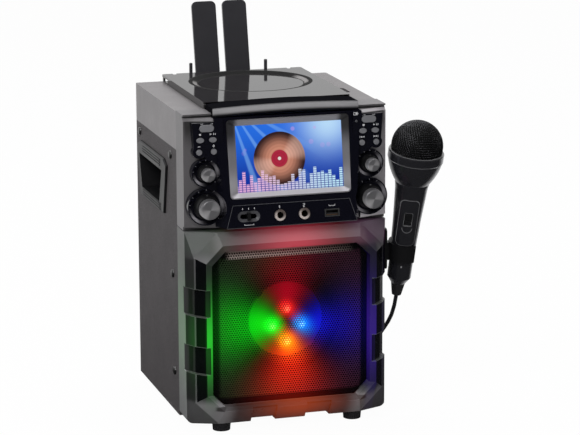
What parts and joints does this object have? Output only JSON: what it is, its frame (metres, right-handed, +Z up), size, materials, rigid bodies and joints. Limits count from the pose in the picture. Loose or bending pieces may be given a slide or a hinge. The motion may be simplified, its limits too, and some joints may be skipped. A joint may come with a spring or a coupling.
{
  "type": "karaoke machine",
  "caption": "Portable karaoke machine with a screen, a top-loading disc player under a hinged lid, a tablet stand and a wired microphone in a side clip.",
  "frame": {"origin": "on the floor under the middle of the cabinet's width, between its front and rear", "axes": "+X to the right seen from the front, +Y to the rear, +Z up"},
  "size_m": [0.2653, 0.3163, 0.3942],
  "materials": {
    "textured_vinyl": "fine pebbled vinyl, matt",
    "satin_gray_plastic": "satin moulded plastic",
    "front_gray_plastic": "fine grained moulded plastic",
    "dark_gray_plastic": "satin moulded plastic",
    "black_plastic": "fine grained moulded plastic",
    "black_gloss": "polished black plastic",
    "screen_trim": "semi-gloss sloping trim",
    "screen_glass": "screen behind clear glass",
    "black_grille_metal": "black painted perforated sheet",
    "black_steel": "black coated steel",
    "bare_steel": "zinc plated steel",
    "knob_metal": "satin turned finish",
    "chrome": "polished plating",
    "button_gray": "satin keys",
    "raw_board": "raw fibreboard",
    "speaker_paper": "pressed paper cone",
    "soft_rubber": "matt rubber",
    "led_glass": "clear light domes",
    "mic_body": "satin lacquer",
    "mic_mesh": "woven wire, dark",
    "cord_jacket": "smooth flexible jacket",
    "circuit_board": "solder resist",
    "battery_wrap": "shrink wrap"
  },
  "bodies": {
    "base": {"battery_pack": "battery_wrap", "cabinet": "textured_vinyl", "cabinet_screws": "black_steel", "disc_deck": "black_plastic", "fascia": "black_gloss", "feet": "soft_rubber", "front_frame": "front_gray_plastic", "handle_cup_left": "black_plastic", "handle_cup_right": "black_plastic", "lcd_panel": "screen_glass", "led_domes": "led_glass", "light_unit": "black_plastic", "main_board": "circuit_board", "mic_cord": "cord_jacket", "mic_cord_coil": "cord_jacket", "mic_holder": "black_plastic", "mic_jacks": "chrome", "mic_plug": "chrome", "potentiometers": "bare_steel", "rear_panel": "black_plastic", "screen_bezel": "screen_trim", "side_guards": "black_gloss", "speaker_baffle": "raw_board", "speaker_bezel": "front_gray_plastic", "speaker_frame": "black_steel", "speaker_grille": "black_grille_metal", "speaker_magnet": "bare_steel", "speaker_surround": "soft_rubber", "spindle_motor": "bare_steel", "tablet_bracket": "dark_gray_plastic", "tablet_pegs": "dark_gray_plastic", "top_housing": "satin_gray_plastic", "usb_port": "chrome", "visor": "front_gray_plastic"},
    "lid": {"lid": "black_gloss"},
    "tablet_backrest": {"tablet_backrest": "dark_gray_plastic"},
    "selector": {"selector_switch": "black_plastic"},
    "microphone": {"mic_handle": "mic_body", "mic_collar": "mic_body", "mic_grille": "mic_mesh", "mic_boot": "soft_rubber"},
    "mic_switch": {"mic_switch": "button_gray"},
    "spindle": {"disc_spindle": "black_plastic"},
    "sled": {"laser_sled": "bare_steel"},
    "cone": {"speaker_cone": "speaker_paper"},
    "power_rocker": {"power_switch": "black_plastic"},
    "echo_knob": {"echo_knob": "knob_metal"},
    "mic_volume_knob": {"mic_volume_knob": "knob_metal"},
    "balance_knob": {"balance_knob": "knob_metal"},
    "master_volume_knob": {"master_volume_knob": "knob_metal"},
    "oval_key_left_inner": {"oval_key_left_inner": "button_gray"},
    "oval_key_left_outer": {"oval_key_left_outer": "button_gray"},
    "oval_key_right_inner": {"oval_key_right_inner": "button_gray"},
    "oval_key_right_outer": {"oval_key_right_outer": "button_gray"},
    "round_key_left_inner": {"round_key_left_inner": "button_gray"},
    "round_key_left_outer": {"round_key_left_outer": "button_gray"},
    "round_key_right_inner": {"round_key_right_inner": "button_gray"},
    "round_key_right_outer": {"round_key_right_outer": "button_gray"},
    "wide_key_left": {"wide_key_left": "button_gray"},
    "wide_key_right": {"wide_key_right": "button_gray"}
  },
  "joints": [
    {"name": "lid_hinge", "type": "hinge", "parent": "base", "child": "lid", "pos_m": [0, 0.0976, 0.323], "axis": [-1, 0, 0], "range_deg": [0, 70]},
    {"name": "backrest_fold", "type": "hinge", "parent": "base", "child": "tablet_backrest", "pos_m": [-0.0022, 0.114, 0.318], "axis": [-1, 0, 0], "range_deg": [-102, 0]},
    {"name": "selector_slide", "type": "slide", "parent": "base", "child": "selector", "axis": [1, 0, 0], "range_m": [-0.005, 0.005]},
    {"name": "mic_lift", "type": "slide", "parent": "base", "child": "microphone", "axis": [0.0602, -0.2, 0.9779], "range_m": [0, 0.1]},
    {"name": "mic_switch_slide", "type": "slide", "parent": "microphone", "child": "mic_switch", "axis": [0.0602, -0.2, 0.9779], "range_m": [-0.005, 0]},
    {"name": "spindle_spin", "type": "hinge", "parent": "base", "child": "spindle", "pos_m": [0.002, 0.034, 0.3], "axis": [0, 0, 1], "continuous": true},
    {"name": "sled_slide", "type": "slide", "parent": "base", "child": "sled", "axis": [0, -1, 0], "range_m": [0, 0.032]},
    {"name": "cone_throw", "type": "slide", "parent": "base", "child": "cone", "axis": [0, 1, 0], "range_m": [-0.0025, 0.0025], "stiffness_N_per_m": 1500},
    {"name": "power_rocker_tilt", "type": "hinge", "parent": "base", "child": "power_rocker", "pos_m": [-0.022, 0.099, 0.099], "axis": [1, 0, 0], "range_deg": [0, 16]},
    {"name": "echo_turn", "type": "hinge", "parent": "base", "child": "echo_knob", "pos_m": [-0.0837, -0.1085, 0.263], "axis": [0, -1, 0], "range_deg": [-150, 150]},
    {"name": "mic_volume_turn", "type": "hinge", "parent": "base", "child": "mic_volume_knob", "pos_m": [-0.0835, -0.1085, 0.2295], "axis": [0, -1, 0], "range_deg": [-150, 150]},
    {"name": "balance_turn", "type": "hinge", "parent": "base", "child": "balance_knob", "pos_m": [0.0837, -0.1085, 0.263], "axis": [0, -1, 0], "range_deg": [-150, 150]},
    {"name": "master_volume_turn", "type": "hinge", "parent": "base", "child": "master_volume_knob", "pos_m": [0.0835, -0.1085, 0.2295], "axis": [0, -1, 0], "range_deg": [-150, 150]},
    {"name": "oval_key_left_inner_press", "type": "slide", "parent": "base", "child": "oval_key_left_inner", "axis": [0, 1, 0], "range_m": [0, 0.001], "stiffness_N_per_m": 500},
    {"name": "oval_key_left_outer_press", "type": "slide", "parent": "base", "child": "oval_key_left_outer", "axis": [0, 1, 0], "range_m": [0, 0.001], "stiffness_N_per_m": 500},
    {"name": "oval_key_right_inner_press", "type": "slide", "parent": "base", "child": "oval_key_right_inner", "axis": [0, 1, 0], "range_m": [0, 0.001], "stiffness_N_per_m": 500},
    {"name": "oval_key_right_outer_press", "type": "slide", "parent": "base", "child": "oval_key_right_outer", "axis": [0, 1, 0], "range_m": [0, 0.001], "stiffness_N_per_m": 500},
    {"name": "round_key_left_inner_press", "type": "slide", "parent": "base", "child": "round_key_left_inner", "axis": [0, 1, 0], "range_m": [0, 0.001], "stiffness_N_per_m": 500},
    {"name": "round_key_left_outer_press", "type": "slide", "parent": "base", "child": "round_key_left_outer", "axis": [0, 1, 0], "range_m": [0, 0.001], "stiffness_N_per_m": 500},
    {"name": "round_key_right_inner_press", "type": "slide", "parent": "base", "child": "round_key_right_inner", "axis": [0, 1, 0], "range_m": [0, 0.001], "stiffness_N_per_m": 500},
    {"name": "round_key_right_outer_press", "type": "slide", "parent": "base", "child": "round_key_right_outer", "axis": [0, 1, 0], "range_m": [0, 0.001], "stiffness_N_per_m": 500},
    {"name": "wide_key_left_press", "type": "slide", "parent": "base", "child": "wide_key_left", "axis": [0, 1, 0], "range_m": [0, 0.001], "stiffness_N_per_m": 500},
    {"name": "wide_key_right_press", "type": "slide", "parent": "base", "child": "wide_key_right", "axis": [0, 1, 0], "range_m": [0, 0.001], "stiffness_N_per_m": 500}
  ]
}
